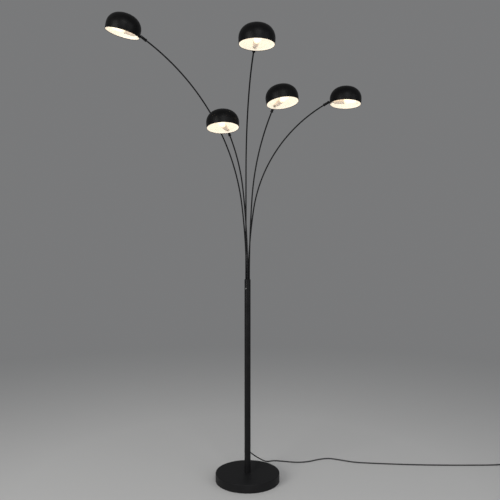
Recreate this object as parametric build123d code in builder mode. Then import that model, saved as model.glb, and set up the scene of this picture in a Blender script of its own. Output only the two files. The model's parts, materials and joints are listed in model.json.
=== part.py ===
from build123d import *
from math import acos, asin, cos, degrees, floor, pi, radians, sin, sqrt, tan
from typing import NamedTuple
import os

os.makedirs("parts", exist_ok=True)

# A tree floor lamp. Five bowed arms rise from the top of one pole, and each carries a hanging
# half-round shade on a knuckle. Millimetres, +Z up, origin at the centre of the base's underside.
# The front of the lamp looks along -Y. An azimuth is counted from the front, positive towards +X.

# ---------------------------------------------------------------- driving dimensions

# Base: a spun steel cover over a cast plate, on a soft pad.
base_radius = 145.0
base_height = 38.0
cover_wall = 1.5
cover_edge_radius = 3.0
cover_floor_gap = 1.0
pad_thickness = 2.0
pad_margin = 8.0
pad_hole_radius = 22.0
plate_thickness = 14.0
plate_play = 0.3
hub_radius = 35.0
hub_root_radius = 6.0

# Pole and the plug that bolts it down.
pole_radius = 14.0
pole_wall = 1.5
pole_length = 873.0
slide_fit = 0.05
spigot_depth = 40.0
spigot_chamfer = 1.0
stud_radius = 5.0
stud_play = 0.2
washer_radius = 11.0
washer_thickness = 2.0
stud_nut_flats = 16.0
stud_nut_height = 6.0
nut_pocket_radius = 14.0
nut_pocket_margin = 2.0

# Terminal block on the spigot, inside the pole.
terminal_width = 15.0
terminal_depth = 11.0
terminal_height = 30.0
terminal_hole_radius = 2.0
terminal_pitch = 7.0

# Arm holder: a turned plug in the mouth of the pole, with one bore for each arm.
holder_plug_length = 55.0
holder_head_height = 4.0
holder_bevel = 3.0
holder_seat_depth = 53.0
wire_hole_radius = 2.3
ring_radius = 8.2
seat_play = 0.1

# Screw that holds the arm holder in the pole.
holder_screw_radius = 2.0
holder_screw_head_radius = 4.0
holder_screw_head_height = 2.5
holder_screw_drop = 39.0
holder_screw_azimuth = -30.0
holder_screw_length = 5.0
holder_screw_bevel = 0.8

# Arms: bent steel tubes.
arm_radius = 3.1
arm_wall = 0.8
arm_socket_depth = 12.0

# Knuckle: a ball-shaped half-lap joint between the arm and the head.
knuckle_length = 24.0
knuckle_ball_radius = 6.0
knuckle_sleeve_radius = 5.5
knuckle_collar_radius = 6.5
knuckle_collar_length = 3.5
knuckle_neck_radius = 4.5
lap_gap = 0.3
lap_play = 0.4
knuckle_flat = 4.6
knuckle_screw_radius = 1.5
knuckle_screw_head_radius = 2.9
knuckle_screw_head_height = 1.7
knuckle_screw_bevel = 0.5
knuckle_nut_flats = 5.5
knuckle_nut_height = 2.2
knuckle_nut_gap = 0.2

# Head: a spun shade on a hollow nipple, with a lampholder and a tubular bulb across its middle.
# The shade is a low dome of three arcs: a wide crown, a round shoulder and an almost upright
# skirt. Its drop and rise are the heights of its rim and its widest part from the nipple's axis.
shade_radius = 70.0
crown_radius = 98.0
shoulder_radius = 51.0
skirt_radius = 200.0
shade_wall = 1.0
shade_drop = 14.5
shade_rise = 9.0
shade_gap = 0.3
pivot_offset = 8.0
flange_radius = 6.0
nipple_radius = 4.0
nipple_bore_radius = 2.6
nipple_reach = 4.0
shade_nut_flats = 14.0
shade_nut_height = 4.0
holder_setback = 50.0
lampholder_length = 45.0
lampholder_radius = 12.5
lampholder_neck_radius = 9.5
lampholder_neck_length = 11.0
lampholder_rim = 1.6
socket_radius = 8.2
socket_depth = 24.0
bulb_radius = 12.3
bulb_glass_length = 52.0
bulb_cap_radius = 7.0
bulb_cap_length = 22.0
bulb_collar_gap = 0.5
bulb_seat_gap = 0.3
bulb_shoulder = 9.0

# Cable bushing at the back of the pole.
bushing_height = 118.0
bushing_hole_radius = 4.6
bushing_flange_radius = 6.6
bushing_flange_thickness = 1.6
bushing_tail_radius = 4.1
bushing_tail_length = 15.0
bushing_inner_length = 3.5

# Mains cord. The route's points are chosen by hand.
cord_radius = 3.0
cord_rise = 6.5
cord_start = 6.0

# Foot switch on the cord.
switch_length = 70.0
switch_width = 38.0
switch_height = 22.0
switch_corner = 14.0
switch_round = 4.0
switch_x = 1300.0
switch_y = 172.3
button_radius = 9.0
button_play = 0.25
button_height = 9.0
button_proud = 4.0
button_bevel = 1.0
button_well_depth = 12.0

# Coil of the spare cord, in two layers.
coil_offset = 45.0
coil_outer_radius = 36.0
coil_pitch = 6.6
coil_turns = 3.5
coil_climb_turns = 0.5
coil_lead = 8.0
coil_tail = 24.0

# Plug: a flat two-pin plug.
plug_length = 36.0
plug_width = 34.0
plug_thickness = 14.0
plug_corner = 9.0
plug_round = 3.0
plug_sleeve_length = 12.0
plug_sleeve_radius = 4.6
pin_radius = 2.0
pin_length = 19.0
pin_spacing = 19.0
pin_bevel = 0.7


class Lamp(NamedTuple):
    """One arm and its head, with the angles in degrees and the lengths in millimetres."""

    number: int
    hole_azimuth: float
    arm_azimuth: float
    lower_bend_radius: float
    lower_bend_length: float
    upper_bend_radius: float
    end_lean: float
    head_azimuth: float
    nipple_rise: float
    shade_roll: float


lamps = [
    Lamp(1, -138.0, -55.4, 2320.0, 335.0, 866.0, 63.3, -57.8, 9.4, 11.3),
    Lamp(2, -66.0, 5.6, 19560.0, 495.0, 444.0, 75.8, 6.7, -0.1, 0.9),
    Lamp(3, 6.0, -43.4, 2640.0, 405.0, 648.0, 30.5, -14.4, 7.4, -4.6),
    Lamp(4, 78.0, 45.4, 3930.0, 365.0, 894.0, 30.5, 25.9, 9.7, -3.4),
    Lamp(5, 150.0, 84.8, 2140.0, 315.0, 658.0, 59.6, 68.0, -0.8, 4.0),
]

# ---------------------------------------------------------------- heights and fits

up = Vector(0, 0, 1)
cover_ceiling = base_height - cover_wall
pole_bore = pole_radius - pole_wall
pole_top = base_height + pole_length
spigot_top = base_height + spigot_depth
holder_top = pole_top + holder_head_height
holder_floor = pole_top - holder_plug_length
arm_foot = holder_top - holder_seat_depth
arm_bore = arm_radius + slide_fit
nut_pocket_top = pad_thickness + washer_thickness + stud_nut_height + nut_pocket_margin
holder_screw_z = holder_top - holder_screw_drop - holder_head_height
shoulder = knuckle_ball_radius + lap_play
centre_distance = shade_radius + pivot_offset
flange_face = centre_distance - shade_radius - shade_gap

# The shade nut seats where its corners, on the slant, come closest to the inside of the skirt.
nut_corner = shade_nut_flats / 2 / cos(pi / 6)
nut_slant = nut_corner * sin(pi / 4)
inner_skirt_radius = skirt_radius - shade_wall
skirt_sag = inner_skirt_radius - sqrt(inner_skirt_radius**2 - (shade_rise + nut_slant) ** 2)
nut_wall_radius = shade_radius - shade_wall - skirt_sag
nut_seat = centre_distance - sqrt(nut_wall_radius**2 - nut_slant**2) + shade_gap

lampholder_back = centre_distance - holder_setback
lampholder_front = lampholder_back + lampholder_length
socket_floor = lampholder_front - socket_depth
nipple_end = lampholder_back + nipple_reach
plug_entry_z = plug_thickness / 2
coil_floor_z = cord_radius
coil_upper_z = coil_floor_z + coil_pitch


def heading(azimuth):
    """Level direction at an azimuth counted from the front."""
    return Vector(sin(radians(azimuth)), -cos(radians(azimuth)), 0)


class Place(NamedTuple):
    """Where one lamp's pieces stand: points, directions and the arm's bends."""

    foot: Vector
    mouth: Vector
    knee: Vector
    knee_direction: Vector
    tip: Vector
    arm_direction: Vector
    pivot: Vector
    nipple_direction: Vector
    hinge: Vector
    centre: Vector
    apex: Vector


def place_of(lamp):
    """Follows the chain from the arm's hole to the middle of its shade."""
    hole = heading(lamp.hole_azimuth) * ring_radius
    outward = heading(lamp.arm_azimuth)
    lean_1 = lamp.lower_bend_length / lamp.lower_bend_radius
    lean_2 = radians(lamp.end_lean)
    mouth = hole + up * holder_top
    knee = mouth + outward * lamp.lower_bend_radius * (1 - cos(lean_1))
    knee += up * lamp.lower_bend_radius * sin(lean_1)
    tip = knee + outward * lamp.upper_bend_radius * (cos(lean_1) - cos(lean_2))
    tip += up * lamp.upper_bend_radius * (sin(lean_2) - sin(lean_1))
    knee_direction = outward * sin(lean_1) + up * cos(lean_1)
    arm_direction = outward * sin(lean_2) + up * cos(lean_2)
    rise = radians(lamp.nipple_rise)
    level = heading(lamp.head_azimuth)
    nipple = level * cos(rise) + up * sin(rise)
    roll = radians(lamp.shade_roll)
    across = Vector(-level.Y, level.X, 0)
    apex = (up * cos(rise) - level * sin(rise)) * cos(roll) + across * sin(roll)
    pivot = tip + arm_direction * knuckle_length
    return Place(
        foot=hole + up * arm_foot,
        mouth=mouth,
        knee=knee,
        knee_direction=knee_direction,
        tip=tip,
        arm_direction=arm_direction,
        pivot=pivot,
        nipple_direction=nipple,
        hinge=arm_direction.cross(nipple).normalized(),
        centre=pivot + nipple * centre_distance,
        apex=apex,
    )


# ---------------------------------------------------------------- base

with BuildPart() as base_cover:
    with BuildSketch(Plane.XZ) as cover_profile:
        with BuildLine():
            Polyline(
                (stud_radius + stud_play, base_height),
                (base_radius, base_height),
                (base_radius, cover_floor_gap),
                (base_radius - cover_wall, cover_floor_gap),
                (base_radius - cover_wall, cover_ceiling),
                (stud_radius + stud_play, cover_ceiling),
                close=True,
            )
        make_face()
        outer_corner = cover_profile.vertices().group_by(Axis.X)[-1].sort_by(Axis.Y)[-1]
        fillet(outer_corner, cover_edge_radius)
        inner_corner = cover_profile.vertices().sort_by_distance(
            Vector(base_radius - cover_wall, 0, cover_ceiling)
        )[0]
        fillet(inner_corner, cover_edge_radius - cover_wall)
    revolve(axis=Axis.Z)
base_cover.part.label = "base_cover"
export_step(base_cover.part, "parts/base_cover.step")

plate_radius = base_radius - cover_wall - plate_play
plate_top = pad_thickness + plate_thickness

with BuildPart() as base_weight:
    with BuildSketch(Plane.XZ):
        with BuildLine():
            Polyline(
                (nut_pocket_radius, pad_thickness),
                (plate_radius, pad_thickness),
                (plate_radius, plate_top),
                (hub_radius + hub_root_radius, plate_top),
                (hub_radius, plate_top + hub_root_radius),
                (hub_radius, cover_ceiling),
                (stud_radius + stud_play, cover_ceiling),
                (stud_radius + stud_play, nut_pocket_top),
                (nut_pocket_radius, nut_pocket_top),
                close=True,
            )
        make_face()
    revolve(axis=Axis.Z)
base_weight.part.label = "base_weight"
export_step(base_weight.part, "parts/base_weight.step")

with BuildPart() as base_pad:
    with BuildSketch(Plane.XY):
        Circle(plate_radius - pad_margin)
        Circle(pad_hole_radius, mode=Mode.SUBTRACT)
    extrude(amount=pad_thickness)
base_pad.part.label = "base_pad"
export_step(base_pad.part, "parts/base_pad.step")

# ---------------------------------------------------------------- pole

stud_bottom = nut_pocket_top - washer_thickness - stud_nut_height

with BuildPart() as pole_spigot:
    with BuildSketch(Plane.XY.offset(stud_bottom)):
        Circle(stud_radius)
    extrude(amount=base_height - stud_bottom)
    with BuildSketch(Plane.XY.offset(base_height)):
        Circle(pole_bore - slide_fit)
    extrude(amount=spigot_depth)
    chamfer(pole_spigot.edges().group_by(Axis.Z)[-1], spigot_chamfer)
    chamfer(pole_spigot.edges().group_by(Axis.Z)[0], spigot_chamfer)
pole_spigot.part.label = "pole_spigot"
export_step(pole_spigot.part, "parts/pole_spigot.step")

with BuildPart() as spigot_nut:
    with BuildSketch(Plane.XY.offset(nut_pocket_top - washer_thickness)):
        Circle(washer_radius)
        Circle(stud_radius + slide_fit, mode=Mode.SUBTRACT)
    extrude(amount=washer_thickness)
    with BuildSketch(Plane.XY.offset(stud_bottom)):
        RegularPolygon(stud_nut_flats / 2, 6, major_radius=False)
        Circle(stud_radius + slide_fit, mode=Mode.SUBTRACT)
    extrude(amount=stud_nut_height)
spigot_nut.part.label = "spigot_nut"
export_step(spigot_nut.part, "parts/spigot_nut.step")

screw_out = heading(holder_screw_azimuth)
screw_seat = screw_out * pole_radius + up * holder_screw_z
screw_plane = Plane(origin=screw_seat, x_dir=up, z_dir=screw_out)
bushing_plane = Plane(origin=(0, pole_radius, bushing_height), x_dir=(1, 0, 0), z_dir=(0, 1, 0))

with BuildPart() as pole:
    with BuildSketch(Plane.XY.offset(base_height)):
        Circle(pole_radius)
        Circle(pole_bore, mode=Mode.SUBTRACT)
    extrude(amount=pole_length)
    with BuildSketch(screw_plane):
        Circle(holder_screw_radius + slide_fit)
    extrude(amount=-pole_radius / 2, mode=Mode.SUBTRACT)
    with BuildSketch(bushing_plane):
        Circle(bushing_hole_radius)
    extrude(amount=-pole_radius / 2, mode=Mode.SUBTRACT)
pole.part.label = "pole"
export_step(pole.part, "parts/pole.step")

with BuildPart() as arm_holder:
    with BuildSketch(Plane.XY.offset(holder_floor)):
        Circle(pole_bore - slide_fit)
    extrude(amount=holder_plug_length)
    with BuildSketch(Plane.XY.offset(pole_top)):
        Circle(pole_radius)
    extrude(amount=holder_head_height)
    chamfer(arm_holder.edges().group_by(Axis.Z)[-1], holder_bevel)
    for lamp in lamps:
        hole_centre = heading(lamp.hole_azimuth) * ring_radius
        with BuildSketch(Plane.XY.offset(arm_foot - seat_play)):
            with Locations((hole_centre.X, hole_centre.Y)):
                Circle(arm_bore)
        extrude(amount=holder_seat_depth + seat_play, mode=Mode.SUBTRACT)
        with BuildSketch(Plane.XY.offset(holder_floor)):
            with Locations((hole_centre.X, hole_centre.Y)):
                Circle(wire_hole_radius)
        extrude(amount=arm_foot - seat_play - holder_floor, mode=Mode.SUBTRACT)
    with BuildSketch(screw_plane):
        Circle(holder_screw_radius + slide_fit)
    extrude(amount=-holder_screw_length - slide_fit, mode=Mode.SUBTRACT)
arm_holder.part.label = "arm_holder"
export_step(arm_holder.part, "parts/arm_holder.step")

with BuildPart() as holder_screw:
    with BuildSketch(screw_plane):
        Circle(holder_screw_head_radius)
    extrude(amount=holder_screw_head_height)
    chamfer(holder_screw.edges().sort_by(Axis(screw_seat, screw_out))[-1], holder_screw_bevel)
    with BuildSketch(screw_plane):
        Circle(holder_screw_radius)
    extrude(amount=-holder_screw_length)
holder_screw.part.label = "holder_screw"
export_step(holder_screw.part, "parts/holder_screw.step")

with BuildPart() as terminal_block:
    with BuildSketch(Plane.XY.offset(spigot_top)):
        Rectangle(terminal_width, terminal_depth)
        with GridLocations(terminal_pitch, 0, 2, 1):
            Circle(terminal_hole_radius, mode=Mode.SUBTRACT)
    extrude(amount=terminal_height)
terminal_block.part.label = "terminal_block"
export_step(terminal_block.part, "parts/terminal_block.step")

# The bushing's tail tapers towards the cord, and its inner sleeve fills the hole in the pole.
with BuildPart() as cable_bushing:
    with BuildSketch(Plane.YZ):
        with BuildLine():
            Polyline(
                (pole_radius - bushing_inner_length, bushing_height + cord_radius),
                (pole_radius - bushing_inner_length, bushing_height + bushing_hole_radius),
                (pole_radius, bushing_height + bushing_hole_radius),
                (pole_radius, bushing_height + bushing_flange_radius),
                (pole_radius + bushing_flange_thickness, bushing_height + bushing_flange_radius),
                (
                    pole_radius + bushing_flange_thickness + bushing_tail_length,
                    bushing_height + bushing_tail_radius,
                ),
                (
                    pole_radius + bushing_flange_thickness + bushing_tail_length,
                    bushing_height + cord_radius,
                ),
                close=True,
            )
        make_face()
    revolve(axis=Axis((0, 0, bushing_height), (0, 1, 0)))
cable_bushing.part.label = "cable_bushing"
export_step(cable_bushing.part, "parts/cable_bushing.step")

# ---------------------------------------------------------------- arms and heads


def make_arm_tube(lamp, place):
    """A straight stub in the holder, two bends one after the other, and a straight end."""
    socket_end = place.tip + place.arm_direction * arm_socket_depth
    with BuildPart() as arm_tube:
        with BuildLine() as arm_line:
            Line(place.foot, place.mouth)
            TangentArc(place.mouth, place.knee, tangent=up)
            TangentArc(place.knee, place.tip, tangent=place.knee_direction)
            Line(place.tip, socket_end)
        with BuildSketch(Plane(origin=place.foot, z_dir=up)):
            Circle(arm_radius)
            Circle(arm_radius - arm_wall, mode=Mode.SUBTRACT)
        sweep(path=arm_line.line)
    arm_tube.part.label = f"arm_tube_{lamp.number}"
    export_step(arm_tube.part, f"parts/arm_tube_{lamp.number}.step")


def make_knuckle_lower(lamp, place):
    """Sleeve over the arm's end, with one half of the ball and a flat for the screw's head."""
    back = -knuckle_length
    collar_end = back + knuckle_collar_length
    ball_start = -sqrt(knuckle_ball_radius**2 - knuckle_sleeve_radius**2)
    arm_axis = Axis(place.pivot, place.arm_direction)
    with BuildPart() as knuckle_lower:
        with BuildSketch(Plane(origin=place.pivot, x_dir=place.arm_direction, z_dir=place.hinge)):
            with BuildLine():
                Polyline(
                    (knuckle_ball_radius, 0),
                    (back, 0),
                    (back, knuckle_collar_radius),
                    (collar_end, knuckle_collar_radius),
                    (collar_end, knuckle_sleeve_radius),
                    (ball_start, knuckle_sleeve_radius),
                )
                ThreePointArc(
                    (ball_start, knuckle_sleeve_radius),
                    (knuckle_ball_radius * sin(pi / 4), knuckle_ball_radius * cos(pi / 4)),
                    (knuckle_ball_radius, 0),
                )
            make_face()
        revolve(axis=arm_axis)
        socket_plane = Plane(origin=place.tip, x_dir=place.hinge, z_dir=place.arm_direction)
        with BuildSketch(socket_plane):
            Circle(arm_bore)
        extrude(amount=arm_socket_depth + seat_play, mode=Mode.SUBTRACT)
        shoulder_point = place.pivot - place.arm_direction * shoulder
        with BuildSketch(Plane(shoulder_point, x_dir=place.hinge, z_dir=place.arm_direction)):
            with Locations((lap_gap / 2, 0)):
                Rectangle(2 * shoulder, 4 * shoulder, align=(Align.MAX, Align.CENTER))
        extrude(amount=2 * shoulder, mode=Mode.SUBTRACT)
        flat_point = place.pivot + place.hinge * knuckle_flat
        with BuildSketch(Plane(flat_point, x_dir=place.arm_direction, z_dir=place.hinge)):
            Circle(knuckle_sleeve_radius)
        extrude(amount=knuckle_ball_radius, mode=Mode.SUBTRACT)
        with BuildSketch(Plane(place.pivot, x_dir=place.arm_direction, z_dir=place.hinge)):
            Circle(knuckle_screw_radius + slide_fit)
        extrude(amount=knuckle_ball_radius, both=True, mode=Mode.SUBTRACT)
    knuckle_lower.part.label = f"knuckle_lower_{lamp.number}"
    export_step(knuckle_lower.part, f"parts/knuckle_lower_{lamp.number}.step")


def make_knuckle_upper(lamp, place):
    """The other half of the ball, a short neck, the flange and the hollow nipple."""
    neck_start = sqrt(knuckle_ball_radius**2 - knuckle_neck_radius**2)
    nipple_axis = Axis(place.pivot, place.nipple_direction)
    with BuildPart() as knuckle_upper:
        with BuildSketch(Plane(place.pivot, x_dir=place.nipple_direction, z_dir=place.hinge)):
            with BuildLine():
                ThreePointArc(
                    (-knuckle_ball_radius, 0),
                    (-knuckle_ball_radius * sin(pi / 4), knuckle_ball_radius * cos(pi / 4)),
                    (neck_start, knuckle_neck_radius),
                )
                Polyline(
                    (neck_start, knuckle_neck_radius),
                    (shoulder, knuckle_neck_radius),
                    (shoulder, flange_radius),
                    (flange_face, flange_radius),
                    (flange_face, nipple_radius),
                    (nipple_end, nipple_radius),
                    (nipple_end, 0),
                    (-knuckle_ball_radius, 0),
                )
            make_face()
        revolve(axis=nipple_axis)
        bore_start = place.pivot + place.nipple_direction * shoulder
        with BuildSketch(Plane(bore_start, x_dir=place.hinge, z_dir=place.nipple_direction)):
            Circle(nipple_bore_radius)
        extrude(amount=nipple_end, mode=Mode.SUBTRACT)
        with BuildSketch(Plane(bore_start, x_dir=place.hinge, z_dir=place.nipple_direction)):
            with Locations((-lap_gap / 2, 0)):
                Rectangle(2 * shoulder, 4 * shoulder, align=(Align.MIN, Align.CENTER))
        extrude(amount=-3 * shoulder, mode=Mode.SUBTRACT)
        flat_point = place.pivot - place.hinge * knuckle_flat
        with BuildSketch(Plane(flat_point, x_dir=place.nipple_direction, z_dir=-place.hinge)):
            Circle(knuckle_sleeve_radius)
        extrude(amount=knuckle_ball_radius, mode=Mode.SUBTRACT)
        with BuildSketch(Plane(place.pivot, x_dir=place.nipple_direction, z_dir=place.hinge)):
            Circle(knuckle_screw_radius + slide_fit)
        extrude(amount=knuckle_ball_radius, both=True, mode=Mode.SUBTRACT)
    knuckle_upper.part.label = f"knuckle_upper_{lamp.number}"
    export_step(knuckle_upper.part, f"parts/knuckle_upper_{lamp.number}.step")


def make_knuckle_screw(lamp, place):
    """Pan-head screw along the hinge, with its nut on the far side of the lap."""
    head_point = place.pivot + place.hinge * knuckle_flat
    head_plane = Plane(head_point, x_dir=place.arm_direction, z_dir=place.hinge)
    nut_top = knuckle_flat + knuckle_nut_gap
    nut_point = place.pivot - place.hinge * nut_top
    nut_plane = Plane(nut_point, x_dir=place.arm_direction, z_dir=-place.hinge)
    with BuildPart() as knuckle_screw:
        with BuildSketch(head_plane):
            Circle(knuckle_screw_head_radius)
        extrude(amount=knuckle_screw_head_height)
        outer_edge = knuckle_screw.edges().sort_by(Axis(head_point, place.hinge))[-1]
        chamfer(outer_edge, knuckle_screw_bevel)
        with BuildSketch(head_plane):
            Circle(knuckle_screw_radius)
        extrude(amount=-(knuckle_flat + nut_top + knuckle_nut_height))
        with BuildSketch(nut_plane):
            RegularPolygon(knuckle_nut_flats / 2, 6, major_radius=False)
            Circle(knuckle_screw_radius + slide_fit, mode=Mode.SUBTRACT)
        extrude(amount=knuckle_nut_height)
    knuckle_screw.part.label = f"knuckle_screw_{lamp.number}"
    export_step(knuckle_screw.part, f"parts/knuckle_screw_{lamp.number}.step")


def make_shade(lamp, place):
    """A spun dome with the nipple's hole in its side."""
    skirt_centre = (shade_radius - skirt_radius, shade_rise)
    skirt_angle = degrees(asin((shade_drop + shade_rise) / skirt_radius))
    shoulder_centre = (shade_radius - shoulder_radius, shade_rise)
    shoulder_turn = acos((shade_radius - shoulder_radius) / (crown_radius - shoulder_radius))
    crown_centre = (0, shade_rise - (crown_radius - shoulder_radius) * sin(shoulder_turn))
    crown_start = degrees(shoulder_turn)
    section_normal = place.nipple_direction.cross(place.apex)
    with BuildPart() as shade:
        with BuildSketch(Plane(place.centre, x_dir=place.nipple_direction, z_dir=section_normal)):
            with BuildLine():
                ends = []
                for inset in (0, shade_wall):
                    skirt = CenterArc(skirt_centre, skirt_radius - inset, -skirt_angle, skirt_angle)
                    CenterArc(shoulder_centre, shoulder_radius - inset, 0, crown_start)
                    crown = CenterArc(crown_centre, crown_radius - inset, crown_start, 90 - crown_start)
                    ends.append((skirt @ 0, crown @ 1))
                (outer_rim, outer_apex), (inner_rim, inner_apex) = ends
                Line(outer_rim, inner_rim)
                Line(outer_apex, inner_apex)
            make_face()
        revolve(axis=Axis(place.centre, place.apex))
        side = place.centre - place.nipple_direction * shade_radius
        with BuildSketch(Plane(side, x_dir=place.apex, z_dir=place.nipple_direction)):
            Circle(nipple_radius + slide_fit)
        extrude(amount=4 * shade_wall, both=True, mode=Mode.SUBTRACT)
    shade.part.label = f"shade_{lamp.number}"
    export_step(shade.part, f"parts/shade_{lamp.number}.step")


def make_shade_nut(lamp, place):
    """Hexagon nut on the nipple, behind the shade's wall."""
    seat = place.pivot + place.nipple_direction * nut_seat
    with BuildPart() as shade_nut:
        with BuildSketch(Plane(seat, x_dir=place.hinge, z_dir=place.nipple_direction)):
            RegularPolygon(shade_nut_flats / 2, 6, major_radius=False)
            Circle(nipple_radius + slide_fit, mode=Mode.SUBTRACT)
        extrude(amount=shade_nut_height)
    shade_nut.part.label = f"shade_nut_{lamp.number}"
    export_step(shade_nut.part, f"parts/shade_nut_{lamp.number}.step")


def make_lampholder(lamp, place):
    """Moulded holder on the end of the nipple, open towards the bulb."""
    neck_end = lampholder_back + lampholder_neck_length
    rim_back = lampholder_front - 4 * lampholder_rim
    with BuildPart() as lampholder:
        with BuildSketch(Plane(place.pivot, x_dir=place.nipple_direction, z_dir=place.hinge)):
            with BuildLine():
                Polyline(
                    (lampholder_back, nipple_radius + slide_fit),
                    (lampholder_back, lampholder_neck_radius),
                    (neck_end, lampholder_neck_radius),
                    (neck_end + lampholder_rim, lampholder_radius - lampholder_rim),
                    (rim_back, lampholder_radius - lampholder_rim),
                    (rim_back, lampholder_radius),
                    (lampholder_front, lampholder_radius),
                    (lampholder_front, socket_radius),
                    (socket_floor, socket_radius),
                    (socket_floor, 0),
                    (nipple_end + seat_play, 0),
                    (nipple_end + seat_play, nipple_radius + slide_fit),
                    close=True,
                )
            make_face()
        revolve(axis=Axis(place.pivot, place.nipple_direction))
    lampholder.part.label = f"lampholder_{lamp.number}"
    export_step(lampholder.part, f"parts/lampholder_{lamp.number}.step")


def make_bulb(lamp, place):
    """Tubular bulb: a cap in the socket, a shouldered neck and a tube with a round end."""
    cap_start = socket_floor + bulb_seat_gap
    cap_end = cap_start + bulb_cap_length
    glass_start = max(cap_end, lampholder_front + bulb_collar_gap)
    tube_start = glass_start + bulb_shoulder
    tube_end = glass_start + bulb_glass_length - bulb_radius
    with BuildPart() as bulb:
        with BuildSketch(Plane(place.pivot, x_dir=place.nipple_direction, z_dir=place.hinge)):
            with BuildLine():
                Polyline(
                    (tube_end + bulb_radius, 0),
                    (cap_start, 0),
                    (cap_start, bulb_cap_radius),
                    (glass_start, bulb_cap_radius),
                )
                Line((glass_start, bulb_cap_radius), (tube_start, bulb_radius))
                Line((tube_start, bulb_radius), (tube_end, bulb_radius))
                ThreePointArc(
                    (tube_end, bulb_radius),
                    (tube_end + bulb_radius * sin(pi / 4), bulb_radius * cos(pi / 4)),
                    (tube_end + bulb_radius, 0),
                )
            make_face()
        revolve(axis=Axis(place.pivot, place.nipple_direction))
    bulb.part.label = f"bulb_{lamp.number}"
    export_step(bulb.part, f"parts/bulb_{lamp.number}.step")


for lamp in lamps:
    place = place_of(lamp)
    make_arm_tube(lamp, place)
    make_knuckle_lower(lamp, place)
    make_knuckle_upper(lamp, place)
    make_knuckle_screw(lamp, place)
    make_shade(lamp, place)
    make_shade_nut(lamp, place)
    make_lampholder(lamp, place)
    make_bulb(lamp, place)
    bend = degrees(acos(place.arm_direction.dot(place.nipple_direction)))
    print("lamp", lamp.number, "pivot", place.pivot, "hinge", place.hinge)
    print("  nipple", place.nipple_direction, "centre", place.centre, "apex", place.apex, "bend", bend)

# ---------------------------------------------------------------- mains cord

cord_points = [
    (0, cord_start, bushing_height),
    (0, 50, bushing_height),
    (34, 116, 68),
    (71, 184, 22),
    (95, 214, cord_radius),
    (127, 230, cord_radius),
    (172, 221, cord_radius),
    (235, 204, cord_radius),
    (297, 212, cord_radius),
    (348, 243, cord_radius),
    (405, 262, cord_radius),
    (462, 236, cord_radius),
    (522, 206, cord_radius),
    (600, 195, cord_radius),
    (765, 177, cord_radius),
    (935, 169, cord_radius),
    (1105, 169, cord_radius),
    (1190, 171, cord_radius),
    (1245, switch_y, cord_rise),
    (switch_x, switch_y, cord_rise),
]


def bend_radii(points, share=0.45):
    """As large a radius at each inner point as its two runs allow."""
    vectors = [Vector(*point) for point in points]
    radii = []
    for before, here, after in zip(vectors, vectors[1:], vectors[2:]):
        turn = (here - before).get_angle(after - here)
        shorter = min((here - before).length, (after - here).length)
        radii.append(share * shorter / tan(radians(turn) / 2))
    return radii


cord_bends = bend_radii(cord_points)
print("cord bend radii", [round(radius) for radius in cord_bends])

with BuildPart() as mains_cord:
    with BuildLine() as cord_line:
        FilletPolyline(*cord_points, radius=cord_bends)
    with BuildSketch(Plane(origin=cord_points[0], z_dir=(0, 1, 0))):
        Circle(cord_radius)
    sweep(path=cord_line.line)
cord_length = cord_line.wire().length
cord_share = mains_cord.part.volume / (pi * cord_radius**2 * cord_length)
print("cord length", cord_length, "outside the pole", cord_length - pole_radius + cord_start)
print("cord volume against section times length", cord_share)
mains_cord.part.label = "mains_cord"
export_step(mains_cord.part, "parts/mains_cord.step")

# ---------------------------------------------------------------- foot switch

switch_middle = switch_x + switch_length / 2

with BuildPart() as switch_body:
    with BuildSketch(Plane.XY):
        with Locations((switch_middle, switch_y)):
            RectangleRounded(switch_length, switch_width, switch_corner)
    extrude(amount=switch_height)
    fillet(switch_body.edges().group_by(Axis.Z)[-1], switch_round)
    with BuildSketch(Plane.XY.offset(switch_height)):
        with Locations((switch_middle, switch_y)):
            Circle(button_radius + button_play)
    extrude(amount=-button_well_depth, mode=Mode.SUBTRACT)
switch_body.part.label = "switch_body"
export_step(switch_body.part, "parts/switch_body.step")

with BuildPart() as switch_button:
    with BuildSketch(Plane.XY.offset(switch_height + button_proud)):
        with Locations((switch_middle, switch_y)):
            Circle(button_radius)
    extrude(amount=-button_height)
    chamfer(switch_button.edges().group_by(Axis.Z)[-1], button_bevel)
switch_button.part.label = "switch_button"
export_step(switch_button.part, "parts/switch_button.step")

# ---------------------------------------------------------------- coil of the spare cord

coil_start = Vector(switch_x + switch_length, switch_y, cord_rise)
coil_centre = coil_start + Vector(coil_offset, coil_outer_radius, 0)


def coil_point(turns):
    """The cord's middle after so many turns: in along the floor, up, and out again above."""
    climb_start = (coil_turns - coil_climb_turns) / 2
    inward = min(turns, coil_turns - turns)
    radius = coil_outer_radius - coil_pitch * inward
    share = min(max((turns - climb_start) / coil_climb_turns, 0), 1)
    height = coil_floor_z + (coil_upper_z - coil_floor_z) * share**2 * (3 - 2 * share)
    angle = 2 * pi * turns - pi / 2
    x = coil_centre.X + radius * cos(angle)
    y = coil_centre.Y + radius * sin(angle)
    return Vector(x, y, height)


def coil_direction(turns, step=0.001):
    """The way the cord runs there."""
    ahead = coil_point(min(turns + step, coil_turns))
    behind = coil_point(max(turns - step, 0))
    return (ahead - behind).normalized()


def biarc(start, start_direction, end, end_direction):
    """Two arcs that join two points with the directions given at both."""
    span = end - start
    both = start_direction + end_direction
    square = 2 * (start_direction.dot(end_direction) - 1)
    linear = -2 * span.dot(both)
    constant = span.dot(span)
    if abs(square) < 1e-9:
        reach = -constant / linear
    else:
        reach = (-linear - sqrt(linear**2 - 4 * square * constant)) / (2 * square)
    first = start + start_direction * reach
    second = end - end_direction * reach
    middle = (first + second) / 2
    TangentArc(start, middle, tangent=start_direction)
    TangentArc(middle, end, tangent=second - first)


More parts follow.
